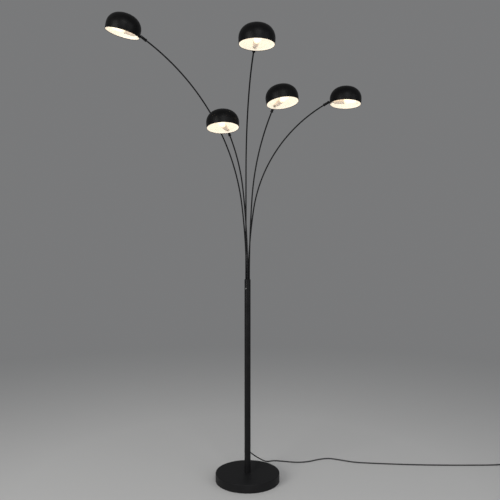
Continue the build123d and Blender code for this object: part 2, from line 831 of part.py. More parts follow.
coil_run = Vector(1, 0, 0)
coil_lead_end = coil_start + coil_run * coil_lead
quarters = int(coil_turns * 4)
coil_end = coil_point(coil_turns)
plug_mouth = Vector(coil_end.X - coil_tail, coil_end.Y, plug_entry_z)
plug_lead_start = plug_mouth + coil_run * 2 * cord_radius

with BuildPart() as cord_coil:
    with BuildLine() as coil_line:
        Line(coil_start, coil_lead_end)
        biarc(coil_lead_end, coil_run, coil_point(0), coil_run)
        place_before = coil_point(0)
        run_before = coil_run
        for quarter in range(1, quarters + 1):
            here = coil_point(quarter / 4)
            run_here = coil_direction(quarter / 4) if quarter < quarters else -coil_run
            biarc(place_before, run_before, here, run_here)
            place_before = here
            run_before = run_here
        biarc(coil_end, -coil_run, plug_lead_start, -coil_run)
        Line(plug_lead_start, plug_mouth)
    with BuildSketch(Plane(origin=coil_start, z_dir=coil_run)):
        Circle(cord_radius)
    sweep(path=coil_line.line)
coil_wire = coil_line.wire()
coil_length = coil_wire.length
coil_share = cord_coil.part.volume / (pi * cord_radius**2 * coil_length)
print("coil length", coil_length, "whole cord", coil_length + cord_length)
print("coil volume against section times length", coil_share)
cord_coil.part.label = "cord_coil"
export_step(cord_coil.part, "parts/cord_coil.step")

sample_count = 800
coil_samples = [coil_wire @ (index / sample_count) for index in range(sample_count + 1)]
neighbours = floor(4 * cord_radius / coil_length * sample_count) + 1
least_gap = min(
    (coil_samples[i] - coil_samples[j]).length - 2 * cord_radius
    for i in range(0, sample_count + 1, 2)
    for j in range(i + neighbours, sample_count + 1)
)
print("least gap of the coil to itself", least_gap)

# ---------------------------------------------------------------- plug

plug_far = plug_mouth.X - plug_sleeve_length - plug_length
plug_middle = plug_far + plug_length / 2

with BuildPart() as plug_body:
    with BuildSketch(Plane.XY):
        with Locations((plug_middle, plug_mouth.Y)):
            RectangleRounded(plug_length, plug_width, plug_corner)
    extrude(amount=plug_thickness)
    fillet(plug_body.edges().group_by(Axis.Z)[-1], plug_round)
    fillet(plug_body.edges().group_by(Axis.Z)[0], plug_round)
    with BuildSketch(Plane(origin=plug_mouth, z_dir=-coil_run)):
        Circle(plug_sleeve_radius)
    extrude(amount=plug_sleeve_length + plug_round)
plug_body.part.label = "plug_body"
export_step(plug_body.part, "parts/plug_body.step")

with BuildPart() as plug_pins:
    with BuildSketch(Plane(origin=(plug_far, plug_mouth.Y, plug_entry_z), z_dir=-coil_run)):
        with GridLocations(0, pin_spacing, 1, 2):
            Circle(pin_radius)
    extrude(amount=pin_length)
    chamfer(plug_pins.edges().group_by(Axis.X)[0], pin_bevel)
plug_pins.part.label = "plug_pins"
export_step(plug_pins.part, "parts/plug_pins.step")
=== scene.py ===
"""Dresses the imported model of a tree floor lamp: finishes, bulbs, shades, fittings and cord."""

from __future__ import annotations

import json
import logging
import math
from bisect import bisect
from dataclasses import dataclass, field
from enum import Enum

import bpy
from mathutils import Matrix, Vector

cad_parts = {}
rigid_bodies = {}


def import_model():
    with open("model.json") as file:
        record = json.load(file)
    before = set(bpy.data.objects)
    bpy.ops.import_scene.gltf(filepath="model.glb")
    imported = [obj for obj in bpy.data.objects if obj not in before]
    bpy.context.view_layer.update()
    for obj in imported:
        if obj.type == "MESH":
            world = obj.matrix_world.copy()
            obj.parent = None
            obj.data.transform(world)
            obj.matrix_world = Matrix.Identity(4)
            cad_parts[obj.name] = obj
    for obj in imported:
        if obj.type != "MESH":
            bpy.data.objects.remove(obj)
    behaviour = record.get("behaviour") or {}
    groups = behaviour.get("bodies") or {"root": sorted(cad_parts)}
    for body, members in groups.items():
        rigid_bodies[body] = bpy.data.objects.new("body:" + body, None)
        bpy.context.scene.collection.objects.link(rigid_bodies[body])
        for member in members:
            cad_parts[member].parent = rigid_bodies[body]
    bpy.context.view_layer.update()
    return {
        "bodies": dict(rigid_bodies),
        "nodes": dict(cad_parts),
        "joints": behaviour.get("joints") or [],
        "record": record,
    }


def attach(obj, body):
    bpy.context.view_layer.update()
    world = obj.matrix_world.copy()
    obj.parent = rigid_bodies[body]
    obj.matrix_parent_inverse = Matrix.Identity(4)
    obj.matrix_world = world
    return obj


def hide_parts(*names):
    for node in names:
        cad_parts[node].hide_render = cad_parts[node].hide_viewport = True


log = logging.getLogger("tree_lamp")

Piece = bpy.types.Object
Material = bpy.types.Material
Colour = tuple[float, float, float]
Point = tuple[float, float, float]
Stations = list[tuple[float, float]]

LAMP_NUMBERS = (1, 2, 3, 4, 5)
INNER_MARK = "inner_face"
MERGE_DISTANCE = 0.00001
NOISE_MIDDLE = 0.5
DARK: Colour = (0.0, 0.0, 0.0)
ORIGIN = Vector((0, 0, 0))
UP = Vector((0, 0, 1))
BACK = Vector((0, 1, 0))
LEFT = Vector((-1, 0, 0))


# ---------------------------------------------------------------- shader expressions


class Wire:
    """One value in a material: a socket, with the operators that add Math nodes."""

    def __init__(self, recipe: Recipe, socket: bpy.types.NodeSocket) -> None:
        """Keep the recipe and the socket that holds the value."""
        self.recipe = recipe
        self.socket = socket

    def _maths(self, operation: str, *values: Wire | float) -> Wire:
        """Add one Math node and hand on its result."""
        inputs = dict(enumerate(values))
        return self.recipe.node("ShaderNodeMath", {"operation": operation}, inputs)

    def __add__(self, other: Wire | float) -> Wire:
        """Sum."""
        return self._maths("ADD", self, other)

    def __radd__(self, other: float) -> Wire:
        """Sum, with the number first."""
        return self._maths("ADD", other, self)

    def __sub__(self, other: Wire | float) -> Wire:
        """Difference."""
        return self._maths("SUBTRACT", self, other)

    def __rsub__(self, other: float) -> Wire:
        """Difference, with the number first."""
        return self._maths("SUBTRACT", other, self)

    def __mul__(self, other: Wire | float) -> Wire:
        """Product."""
        return self._maths("MULTIPLY", self, other)

    def __rmul__(self, other: float) -> Wire:
        """Product, with the number first."""
        return self._maths("MULTIPLY", other, self)

    def __truediv__(self, other: Wire | float) -> Wire:
        """Quotient."""
        return self._maths("DIVIDE", self, other)

    def __gt__(self, other: Wire | float) -> Wire:
        """One where this is larger, and zero elsewhere."""
        return self._maths("GREATER_THAN", self, other)

    def waved(self, pitch: float) -> Wire:
        """A wave from zero to one that repeats after that pitch."""
        return self._maths("SINE", self * (2 * math.pi / pitch)) * 0.5 + 0.5

    def clamped(self) -> Wire:
        """Between zero and one."""
        return self._maths("MINIMUM", self._maths("MAXIMUM", self, 0.0), 1.0)

    def ramped(self, low: float, high: float) -> Wire:
        """Zero up to low, one from high on, and a straight line between."""
        return ((self - low) / (high - low)).clamped()


class Recipe:
    """A material under construction: a Principled shader and the nodes that feed it."""

    MIX_SHARE, MIX_FIRST, MIX_SECOND = 0, 6, 7
    MIX_RESULT = 2

    def __init__(self, name: str) -> None:
        """Start an empty material.

        Args:
            name: The material's name.
        """
        self.material = bpy.data.materials.new(name)
        self.material.use_nodes = True
        self.tree = self.material.node_tree
        self.shader = self.tree.nodes["Principled BSDF"]

    def give(self, socket: bpy.types.NodeSocket, value: Wire | float | Colour | Vector) -> None:
        """Link a wire to an input, or set its value; a tuple is a colour.

        Args:
            socket: The input.
            value: What it gets.
        """
        if isinstance(value, Wire):
            self.tree.links.new(value.socket, socket)
        else:
            socket.default_value = (*value, 1) if isinstance(value, tuple) else value

    def node(self, kind: str, settings: dict, inputs: dict, output: str | int = 0) -> Wire:
        """Add a node.

        Args:
            kind: The node's type.
            settings: Its properties, set before its inputs.
            inputs: Values or wires by socket name or number.
            output: The socket that is handed on.

        Returns:
            The chosen output as a wire.
        """
        made = self.tree.nodes.new(kind)
        for name, value in settings.items():
            setattr(made, name, value)
        for name, value in inputs.items():
            self.give(made.inputs[name], value)
        return Wire(self, made.outputs[output])

    def background_rays(self) -> Wire:
        """Tell the rays that show the background: seen, mirrored or through glass.

        Returns:
            One for those rays and zero for the others.
        """
        kinds = ("Is Camera Ray", "Is Glossy Ray", "Is Transmission Ray")
        seen, mirrored, through = (
            self.node("ShaderNodeLightPath", {}, {}, kind) for kind in kinds
        )
        return (seen + mirrored + through).clamped()

    def place(self) -> Wire:
        """Object coordinates, in metres."""
        return self.node("ShaderNodeTexCoord", {}, {}, "Object")

    def _vector_maths(self, operation: str, first: Wire, second: Vector, output: str) -> Wire:
        """Add one Vector Math node and hand on the named output."""
        settings = {"operation": operation}
        return self.node("ShaderNodeVectorMath", settings, {0: first, 1: second}, output)

    def along(self, axis: Vector, origin: Vector) -> Wire:
        """Distance along a direction from a point, in metres."""
        moved = self._vector_maths("SUBTRACT", self.place(), origin, "Vector")
        return self._vector_maths("DOT_PRODUCT", moved, axis, "Value")

    def distance(self, point: Vector) -> Wire:
        """Distance from a point, in metres."""
        return self._vector_maths("DISTANCE", self.place(), point, "Value")

    def mark(self, name: str) -> Wire:
        """The value of an attribute that the mesh carries."""
        return self.node("ShaderNodeAttribute", {"attribute_name": name}, {}, "Fac")

    def noise(self, scale: float, detail: float) -> Wire:
        """Noise over the surface: its cells per metre and its octaves of finer noise."""
        inputs = {"Vector": self.place(), "Scale": scale, "Detail": detail}
        return self.node("ShaderNodeTexNoise", {}, inputs)

    def mix(self, share: Wire | float, first: Colour | Wire, second: Colour | Wire) -> Wire:
        """Blend two colours: a share of zero is the first and of one the second."""
        inputs = {self.MIX_SHARE: share, self.MIX_FIRST: first, self.MIX_SECOND: second}
        return self.node("ShaderNodeMix", {"data_type": "RGBA"}, inputs, self.MIX_RESULT)

    def bump(self, height: Wire, depth: float, strength: float) -> Wire:
        """A normal from a height of zero to one that stands that depth in metres."""
        inputs = {"Height": height, "Distance": depth, "Strength": strength}
        return self.node("ShaderNodeBump", {}, inputs)

    def feed(self, **sockets: Wire | float | Colour) -> None:
        """Set or link the shader's inputs; an underscore stands for a space."""
        for name, value in sockets.items():
            self.give(self.shader.inputs[name.replace("_", " ")], value)


class WorldRecipe(Recipe):
    """The world under construction: its Background shader and the nodes that feed it."""

    def __init__(self, name: str) -> None:
        """Start a new world.

        Args:
            name: The world's name.
        """
        self.world = bpy.data.worlds.new(name)
        self.world.use_nodes = True
        self.tree = self.world.node_tree
        self.shader = self.tree.nodes["Background"]


# ---------------------------------------------------------------- finishes


@dataclass(frozen=True)
class Coat:
    """A finish of one colour with patches of a second, over a fine grain.

    The grain and the patches are noises, given in cells per metre. Their gloss is how far
    they spread the roughness, and the patches fade in over a range of their noise.
    """

    name: str
    colour: Colour
    patch_colour: Colour
    roughness: float
    grain: float
    grain_detail: float
    grain_depth: float
    grain_bump: float
    grain_gloss: float
    patches: float
    patch_detail: float
    patch_range: tuple[float, float]
    patch_share: float
    patch_gloss: float
    sheen: float = 0.5
    metallic: float = 0.0
    # glow paints light onto a part that is no lamp: a painted glow, off by default
    glow: Colour = DARK
    painted_glow_strength: float = 0.0

    def parts(self, recipe: Recipe) -> tuple[Wire, Wire, Wire]:
        """Lay the patches and the grain.

        Args:
            recipe: The material that gets them.

        Returns:
            The colour, the roughness and the grain.
        """
        grain = recipe.noise(self.grain, self.grain_detail)
        patches = recipe.noise(self.patches, self.patch_detail)
        share = patches.ramped(*self.patch_range) * self.patch_share
        colour = recipe.mix(share, self.colour, self.patch_colour)
        rough = self.roughness + (patches - NOISE_MIDDLE) * self.patch_gloss
        return colour, rough + (grain - NOISE_MIDDLE) * self.grain_gloss, grain

    def material(self) -> Material:
        """Build the material.

        Returns:
            The finished material.
        """
        recipe = Recipe(self.name)
        colour, rough, grain = self.parts(recipe)
        normal = recipe.bump(grain, self.grain_depth, self.grain_bump)
        recipe.feed(Base_Color=colour, Roughness=rough, Normal=normal, Metallic=self.metallic)
        recipe.feed(Specular_IOR_Level=self.sheen)
        # A painted glow, where the finish has one.
        if self.painted_glow_strength > 0:
            recipe.feed(Emission_Color=self.glow, Emission_Strength=self.painted_glow_strength)
        return recipe.material


@dataclass(frozen=True)
class PowderCoat(Coat):
    """Black powder coat: a fine grain, slightly uneven in gloss."""

    colour: Colour = (0.007, 0.007, 0.0076)
    patch_colour: Colour = (0.0125, 0.0125, 0.0133)
    roughness: float = 0.42
    grain: float = 1600.0
    grain_detail: float = 2.0
    grain_depth: float = 0.00012
    grain_bump: float = 0.5
    grain_gloss: float = 0.08
    patches: float = 22.0
    patch_detail: float = 4.0
    patch_range: tuple[float, float] = (0.35, 0.7)
    patch_share: float = 0.6
    patch_gloss: float = 0.16
    sheen: float = 0.12


@dataclass(frozen=True, kw_only=True)
class ShadeCoat(PowderCoat):
    """Shade: black powder coat outside, warm white enamel inside with a painted glow, brightest
    near the bulb.
    """

    centre: Vector
    nipple: Vector
    colour: Colour = (0.0034, 0.0034, 0.0036)
    patch_colour: Colour = (0.006, 0.006, 0.0064)
    roughness: float = 0.4
    grain_depth: float = 0.00009
    grain_gloss: float = 0.0
    patches: float = 30.0
    patch_range: tuple[float, float] = (0.3, 0.75)
    patch_share: float = 0.7
    patch_gloss: float = 0.12
    white: Colour = (0.86, 0.83, 0.77)
    white_rougher: float = 0.15
    # Painted glow on the inner white: warm light painted in, full near the bulb, fading to a
    # floor share farther along the nipple.
    glow: Colour = (1.0, 0.89, 0.73)
    painted_glow_strength: float = 0.40
    painted_glow_from: float = 0.012
    painted_glow_reach: float = 0.085
    painted_glow_floor: float = 0.65

    def material(self) -> Material:
        """Build the material, split by the attribute that marks the inner faces, with the painted
        glow inside.

        Returns:
            The finished material.
        """
        recipe = Recipe(self.name)
        inside = recipe.mark(INNER_MARK)
        outside, rough, grain = self.parts(recipe)
        # Painted light: the glow is full just past the bulb's near end and fades along the nipple
        # down to its floor share.
        past_bulb = recipe.along(self.nipple, self.centre) - self.painted_glow_from
        near = 1.0 - past_bulb.ramped(0.0, self.painted_glow_reach)
        spread = near * (1.0 - self.painted_glow_floor) + self.painted_glow_floor
        recipe.feed(
            Base_Color=recipe.mix(inside, outside, self.white),
            Roughness=rough + inside * self.white_rougher,
            Normal=recipe.bump(grain, self.grain_depth, self.grain_bump),
            Specular_IOR_Level=self.sheen,
            Emission_Color=recipe.mix(inside * spread, DARK, self.glow),
            Emission_Strength=self.painted_glow_strength,
        )
        return recipe.material


@dataclass(frozen=True, kw_only=True)
class KnuckleCoat(PowderCoat):
    """Upper knuckle: black powder coat outside the shade, a plated thread inside it."""

    pivot: Vector
    nipple: Vector
    plated_from: float
    colour: Colour = (0.009, 0.009, 0.01)
    patch_colour: Colour = (0.016, 0.016, 0.017)
    roughness: float = 0.38
    grain: float = 2600.0
    grain_depth: float = 0.000045
    grain_gloss: float = 0.0
    patches: float = 40.0
    patch_gloss: float = 0.1
    sheen: float = 0.2
    zinc: Colour = (0.72, 0.7, 0.66)
    zinc_smoother: float = 0.06
    thread_pitch: float = 0.001
    thread_depth: float = 0.0003
    thread_bump: float = 0.6

    def material(self) -> Material:
        """Build the material, split where the shade's wall is.

        Returns:
            The finished material.
        """
        recipe = Recipe(self.name)
        along = recipe.along(self.nipple, self.pivot)
        plated = along > self.plated_from
        coat, rough, grain = self.parts(recipe)
        coat_height = grain * (1.0 - plated) * (self.grain_depth / self.thread_depth)
        height = coat_height + along.waved(self.thread_pitch) * plated
        recipe.feed(
            Base_Color=recipe.mix(plated, coat, self.zinc),
            Roughness=rough - plated * self.zinc_smoother,
            Normal=recipe.bump(height, self.thread_depth, self.thread_bump),
            Metallic=plated,
            Specular_IOR_Level=self.sheen,
        )
        return recipe.material


@dataclass(frozen=True)
class BareMetal(Coat):
    """Turned, plated or cast metal: one noise for its tool marks, their tint and gloss."""

    roughness: float = 0.35
    grain: float = 420.0
    grain_detail: float = 5.0
    grain_depth: float = 0.00003
    grain_bump: float = 0.6
    grain_gloss: float = 0.3
    patches: float = 420.0
    patch_detail: float = 5.0
    patch_range: tuple[float, float] = (0.3, 0.75)
    patch_share: float = 1.0
    patch_gloss: float = 0.0
    metallic: float = 1.0


@dataclass(frozen=True)
class Moulded(Coat):
    """Moulded plastic or rubber with a spark-eroded grain."""

    roughness: float = 0.5
    grain: float = 1500.0
    grain_detail: float = 3.0
    grain_depth: float = 0.00006
    grain_bump: float = 0.6
    grain_gloss: float = 0.2
    patches: float = 60.0
    patch_detail: float = 3.0
    patch_range: tuple[float, float] = (0.3, 0.7)
    patch_share: float = 1.0
    patch_gloss: float = 0.0


@dataclass(frozen=True)
class CordJacket(Moulded):
    """Matte black cord: a soft plastic jacket."""

    colour: Colour = (0.014, 0.014, 0.015)
    patch_colour: Colour = (0.028, 0.028, 0.03)
    roughness: float = 0.42
    grain: float = 1800.0
    grain_depth: float = 0.00005
    grain_bump: float = 0.5
    grain_gloss: float = 0.25
    patches: float = 45.0


@dataclass(frozen=True)
class FrostedGlass:
    """Lit frosted bulb, hottest around its middle."""

    name: str
    start: Vector
    axis: Vector
    length: float
    frosting: Colour = (0.92, 0.88, 0.8)
    hot: Colour = (1.0, 0.88, 0.66)
    warm: Colour = (1.0, 0.74, 0.46)
    strength: float = 1.0
    hot_from: float = 0.4
    cooler_from: float = 0.8
    cooler_to: float = 1.15
    cooler_by: float = 0.4
    frost: float = 900.0
    frost_detail: float = 3.0
    frost_depth: float = 0.00003
    frost_bump: float = 0.4
    roughness: float = 0.35
    frost_gloss: float = 0.2

    def material(self) -> Material:
        """Build the material, with its glow along the bulb's length.

        Returns:
            The finished material.
        """
        recipe = Recipe(self.name)
        share = recipe.along(self.axis, self.start) / self.length
        tip = share.ramped(self.cooler_from, self.cooler_to) * self.cooler_by
        middle = share.ramped(0.0, self.hot_from) * (1.0 - tip)
        frost = recipe.noise(self.frost, self.frost_detail)
        recipe.feed(
            Base_Color=self.frosting,
            Roughness=self.roughness + frost * self.frost_gloss,
            Normal=recipe.bump(frost, self.frost_depth, self.frost_bump),
            Emission_Color=recipe.mix(middle, self.warm, self.hot),
            Emission_Strength=self.strength,
        )
        return recipe.material


# ---------------------------------------------------------------- the bench: modelling by hand


class Side(Enum):
    """How the two ends of a turned piece are closed."""

    BOTH = "both"
    RING = "ring"


@dataclass
class Bench:
    """Models new pieces with Blender's operators, one at a time, in the row frame."""

    made: list[str] = field(default_factory=list)

    def clear(self) -> None:
        """Leave object mode with nothing selected."""
        if bpy.context.object and bpy.context.object.mode != "OBJECT":
            bpy.ops.object.mode_set(mode="OBJECT")
        bpy.ops.object.select_all(action="DESELECT")

    def chosen(self, *pieces: Piece) -> None:
        """Select only these pieces, with the first of them active.

        Args:
            pieces: What the next operator works on.
        """
        self.clear()
        for piece in pieces:
            piece.select_set(True)
        bpy.context.view_layer.objects.active = pieces[0]

    def turned(self, name: str, stations: Stations, segments: int, ends: Side) -> Piece:
        """Turn a piece about +Z from one ring that is extruded and scaled.

        Args:
            name: The piece's name.
            stations: Height and radius of each ring, in metres.
            segments: Sides of a ring.
            ends: Whether the two ends are closed, or meet as a ring's do.

        Returns:
            The piece, still at the origin.
        """
        self.clear()
        height, radius = stations[0]
        bpy.ops.mesh.primitive_circle_add(
            vertices=segments, radius=radius, fill_type="NOTHING", location=(0, 0, height)
        )
        piece = bpy.context.object
        piece.name = name
        bpy.ops.object.transform_apply(location=True, rotation=True, scale=True)
        bpy.ops.object.mode_set(mode="EDIT")
        bpy.ops.mesh.select_mode(type="EDGE")
        bpy.ops.mesh.select_all(action="SELECT")
        for next_height, next_radius in stations[1:]:
            move = {"value": (0, 0, next_height - height)}
            bpy.ops.mesh.extrude_edges_move(TRANSFORM_OT_translate=move)
            share = next_radius / radius
            centre = (0, 0, next_height)
            bpy.ops.transform.resize(value=(share, share, 1), center_override=centre)
            height, radius = next_height, next_radius
        if ends is Side.BOTH:
            bpy.ops.mesh.select_all(action="DESELECT")
            bpy.ops.mesh.select_mode(type="VERT")
            bpy.ops.mesh.select_non_manifold()
            bpy.ops.mesh.fill_holes(sides=0)
        else:
            bpy.ops.mesh.select_all(action="SELECT")
            bpy.ops.mesh.remove_doubles(threshold=MERGE_DISTANCE)
        bpy.ops.mesh.select_all(action="SELECT")
        bpy.ops.mesh.normals_make_consistent(inside=False)
        bpy.ops.object.mode_set(mode="OBJECT")
        return piece

    def seated(self, piece: Piece, origin: Vector, axis: Vector, across: Vector) -> None:
        """Stand a piece that was modelled about +Z on its own axis, and apply its place.

        Args:
            piece: The piece at the origin.
            origin: Where its origin goes.
            axis: Where its +Z points.
            across: Where its +X points, roughly.
        """
        z = axis.normalized()
        x = (across - z * across.dot(z)).normalized()
        y = z.cross(x)
        columns = Matrix((x, y, z)).transposed().to_4x4()
        piece.matrix_world = Matrix.Translation(origin) @ columns
        self.chosen(piece)
        bpy.ops.object.transform_apply(location=True, rotation=True, scale=True)

    def smoothed(self, piece: Piece, angle: float = 35.0) -> Piece:
        """Shade smooth.

        Args:
            piece: The piece.
            angle: In degrees; sharper edges stay crisp.

        Returns:
            The same piece.
        """
        self.chosen(piece)
        bpy.ops.object.shade_smooth_by_angle(angle=math.radians(angle))
        return piece

    def copied(self, pattern: Piece, name: str) -> Piece:
        """Copy a pattern, with a mesh of its own.

        Args:
            pattern: The piece to copy.
            name: The copy's name.

        Returns:
            The copy.
        """
        self.chosen(pattern)
        bpy.ops.object.duplicate(linked=False)
        piece = bpy.context.object
        piece.name = name
        return piece

    def threaded(self, piece: Piece, path: CordPath, start: float, way: int) -> None:
        """Thread a piece that was modelled about +Z onto a cord, bent as the cord is.

        Args:
            piece: The piece at the origin.
            path: The cord's middle line.
            start: The length along the cord where the piece's origin goes.
            way: One where its +Z runs with the cord, and minus one against it.
        """
        for vertex in piece.data.vertices:
            centre, ahead = path.at(start + way * vertex.co.z)
            up = (UP - ahead * ahead.z).normalized()
            side = up.cross(ahead) * way
            vertex.co = centre + side * vertex.co.x + up * vertex.co.y

    def banded(self, node: Piece, name: str, low: float, high: float, proud: float) -> Piece:
        """Make a thin band round a node from its skin between two heights.

        Args:
            node: The CAD node, which is left alone.
            name: The band's name.
            low: The band's lower edge.
            high: The band's upper edge.
            proud: How far it stands out from the skin.

        Returns:
            The band.
        """
        band = bpy.data.objects.new(name, node.data.copy())
        bpy.context.scene.collection.objects.link(band)
        self.chosen(band)
        bpy.ops.object.mode_set(mode="EDIT")
        bpy.ops.mesh.select_all(action="SELECT")
        bpy.ops.mesh.remove_doubles(threshold=MERGE_DISTANCE)
        bpy.ops.mesh.bisect(plane_co=(0, 0, low), plane_no=UP, clear_inner=True)
        bpy.ops.mesh.select_all(action="SELECT")
        bpy.ops.mesh.bisect(plane_co=(0, 0, high), plane_no=UP, clear_outer=True)
        bpy.ops.object.mode_set(mode="OBJECT")
        wall = band.modifiers.new("wall", "SOLIDIFY")
        wall.thickness = proud
        wall.offset = 1.0
        bpy.ops.object.modifier_apply(modifier=wall.name)
        return self.smoothed(band)

    def cut(self, piece: Piece, tool: Piece) -> None:
        """Cut one piece with another.

        Args:
            piece: The piece that stays.
            tool: The shape that is taken out of it, and then thrown away.
        """
        self.chosen(piece)
        modifier = piece.modifiers.new("cut", "BOOLEAN")
        modifier.object = tool
        modifier.operation = "DIFFERENCE"
        modifier.solver = "EXACT"
        bpy.ops.object.modifier_apply(modifier=modifier.name)
        bpy.data.objects.remove(tool)

    def done(
        self,
        piece: Piece,
        material: Material,
        body: str,
        slot: str,
        nodes: tuple[str, ...] = (),
    ) -> None:
        """Dress a piece, hang it on its body and hide the nodes it stands for.

        Args:
            piece: The finished piece.
            material: Its finish.
            body: The body that it moves with.
            slot: The record's slot for its finish; not used.
            nodes: CAD nodes that it stands for.
        """
        piece.data.materials.clear()
        piece.data.materials.append(material)
        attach(piece, body)
        if nodes:
            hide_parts(*nodes)
        self.made.append(piece.name)
        log.info("made %s", piece.name)


def bead_section(height: float, radius: float, bead: float, steps: int = 10) -> Stations:
    """The stations of a ring at that height and radius, with a bead's round section."""
    angles = [2 * math.pi * step / steps for step in range(steps + 1)]
    return [(height + bead * math.sin(turn), radius + bead * math.cos(turn)) for turn in angles]


def ribbed_section(
    start: tuple[float, float], end: tuple[float, float], ribs: int, groove: float
) -> Stations:
    """The stations of a tapering sleeve with square grooves round it.

    Args:
        start: Height and radius at the thick end.
        end: Height and radius at the thin end.
        ribs: How many ribs stand between the grooves.
        groove: The grooves' depth.

    Returns:
        Height and radius of each station.
    """
    stations = []
    parts = 2 * ribs - 1
    for part in range(parts):
        depth = groove if part % 2 else 0.0
        for share in (part / parts, (part + 1) / parts):
            height = start[0] + (end[0] - start[0]) * share
            radius = start[1] + (end[1] - start[1]) * share - depth
            stations.append((height, radius))
    return stations


class CordPath:
    """The middle line of a cord, as its spline runs."""

    def __init__(self, cord: Piece) -> None:
        """Read the line from the cord's curve, while it has no round section.

        Args:
            cord: The cord's curve object.
        """
        thick = cord.data.bevel_depth
        cord.data.bevel_depth = 0.0
        line = bpy.data.meshes.new_from_object(cord)
        cord.data.bevel_depth = thick
        self.points = [vertex.co.copy() for vertex in line.vertices]
        bpy.data.meshes.remove(line)
        self.reach = [0.0]
        for before, here in zip(self.points, self.points[1:]):
            self.reach.append(self.reach[-1] + (here - before).length)

    @property
    def length(self) -> float:
        """The line's whole length."""
        return self.reach[-1]

    def point(self, distance: float) -> Vector:
        """Find the point at a length along the line, or straight on past its ends.

        Args:
            distance: The length from the line's start.

        Returns:
            The point.
        """
        index = bisect(self.reach, distance, 1, len(self.reach) - 1)
        before, here = self.points[index - 1], self.points[index]
        span = self.reach[index] - self.reach[index - 1]
        return before + (here - before) * ((distance - self.reach[index - 1]) / span)

    def at(self, distance: float, step: float = 0.002) -> tuple[Vector, Vector]:
        """The point and the direction at a length; the direction spans a step each way."""
        ahead = self.point(distance + step) - self.point(distance - step)
        return self.point(distance), ahead.normalized()


@dataclass
class SocketScrew:
    """A domed screw with a hexagon socket, along +Z, and a nut where it has one.

    The dome lists shares of the head's height and radius, from the seat to the top.
    """

    SEGMENTS = 32
    HEXAGON = 6
    DOME = ((0.0, 1.0), (0.55, 1.0), (0.80, 0.92), (0.94, 0.78), (1.0, 0.58))
    CRISP_DEGREES = 30.0

    bench: Bench
    head_radius: float
    head_height: float
    shank_radius: float
    seat: float
    tip: float
    nut_flats: float = 0.0
    nut_height: float = 0.0
    nut_bevel_share: float = 0.12
    socket_share: float = 0.42
    socket_floor_share: float = 0.35
    socket_top_share: float = 1.5

    def nut(self) -> Piece:
        """Turn the bevelled hexagon nut at the screw's tip.

        Returns:
            The nut.
        """
        corner = self.nut_flats / 2 / math.cos(math.pi / self.HEXAGON)
        bevel = self.nut_bevel_share * self.nut_height
        low, top = self.tip, self.tip + self.nut_height
        stations = [
            (low, corner - bevel),
            (low + bevel, corner),
            (top - bevel, corner),
            (top, corner - bevel),
        ]
        return self.bench.turned("nut", stations, self.HEXAGON, Side.BOTH)

    def build(self, name: str) -> Piece:
        """Model the screw and its nut as one piece.

        Args:
            name: The piece's name.

        Returns:
            The piece at the origin.
        """
        wide, high = self.head_radius, self.head_height
        shank = [(self.tip, self.shank_radius), (self.seat, self.shank_radius)]
        dome = [(self.seat + rise * high, reach * wide) for rise, reach in self.DOME]
        screw = self.bench.turned(name, shank + dome, self.SEGMENTS, Side.BOTH)
        socket = self.socket_share * wide
        shares = (self.socket_floor_share, self.socket_top_share)
        hollow = [(self.seat + share * high, socket) for share in shares]
        self.bench.cut(screw, self.bench.turned("socket", hollow, self.HEXAGON, Side.BOTH))
        if self.nut_flats:
            self.bench.chosen(screw, self.nut())
            bpy.ops.object.join()
        return self.bench.smoothed(screw, self.CRISP_DEGREES)


# ---------------------------------------------------------------- places, from the frame


@dataclass(frozen=True)
class HeadPlace:
    """Where one head stands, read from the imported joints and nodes."""

    number: int
    pivot: Vector
    hinge: Vector
    centre: Vector
    nipple: Vector
    apex: Vector

    @classmethod
    def read(cls, frame: dict, number: int) -> HeadPlace:
        """Find the head's directions; the apex points from the mouth to the crown.

        Args:
            number: The lamp's number.

        Returns:
            The head's place.
        """
        joints = {joint["name"]: joint for joint in frame["joints"]}
        tilt = joints[f"head_tilt_{number}"]
        turn = joints[f"shade_turn_{number}"]
        centre = Vector(turn["pos_m"])
        nipple = Vector(turn["axis"]).normalized()
        mesh = frame["nodes"][f"shade_{number}"].data
        moment = ORIGIN.copy()
        area = 0.0
        for face in mesh.polygons:
            moment += face.center * face.area
            area += face.area
        apex = moment / area - centre
        apex -= nipple * apex.dot(nipple)
        return cls(
            number=number,
            pivot=Vector(tilt["pos_m"]),
            hinge=Vector(tilt["axis"]).normalized(),
            centre=centre,
            nipple=nipple,
            apex=apex.normalized(),
        )


# ---------------------------------------------------------------- sub-assemblies


